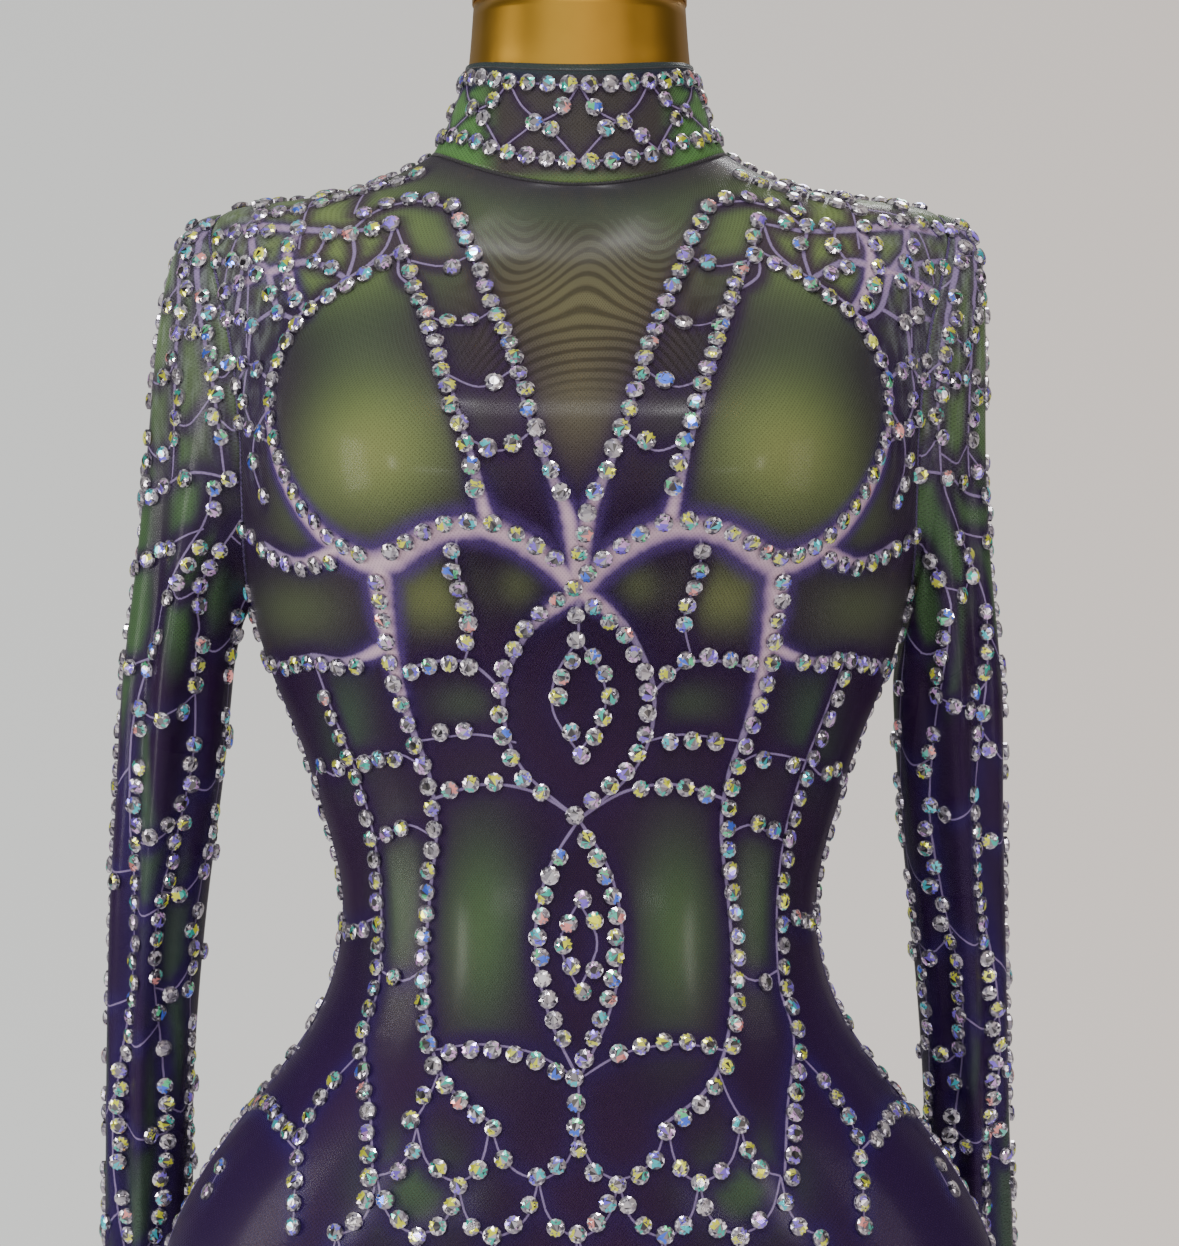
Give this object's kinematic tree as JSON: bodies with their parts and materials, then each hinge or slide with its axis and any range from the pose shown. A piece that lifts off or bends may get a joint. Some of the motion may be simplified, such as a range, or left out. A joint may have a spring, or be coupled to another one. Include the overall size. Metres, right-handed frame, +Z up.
{
  "type": "rhinestone jumpsuit on a dress form",
  "caption": "High-necked, long-sleeved stage catsuit of printed stretch mesh on a limbless gold dress form with a pole and round base; the zip's pull tab swings.",
  "frame": {"origin": "centre of the stand base's underside, on the floor, straight below the middle of the form's neck", "axes": "+Z up from the floor, -Y the way the front faces, +X towards the wearer's left"},
  "size_m": [0.4525, 0.38, 1.4723],
  "materials": {
    "suit_mesh": "sheer printed stretch mesh with flat-back crystals",
    "zip_tape": "woven tape with a nylon coil",
    "zip_metal": "plated, slightly worn",
    "form_gold": "gloss gold lacquer over moulded shell",
    "stand_gold": "gloss gold over steel"
  },
  "bodies": {
    "suit_and_form": {"front": "suit_mesh", "back_left": "suit_mesh", "back_right": "suit_mesh", "sleeve_left": "suit_mesh", "sleeve_right": "suit_mesh", "collar": "suit_mesh", "zip_tape": "zip_tape", "zip_slider": "zip_metal", "form_body": "form_gold", "neck_cap": "form_gold", "stand_pole": "stand_gold", "stand_base": "stand_gold"},
    "pull_tab": {"zip_pull": "zip_metal"}
  },
  "joints": [
    {"name": "pull_tab_swing", "type": "hinge", "parent": "suit_and_form", "child": "pull_tab", "pos_m": [0, 0.0605, 1.4265], "axis": [1, 0, 0], "range_deg": [0, 165]}
  ]
}
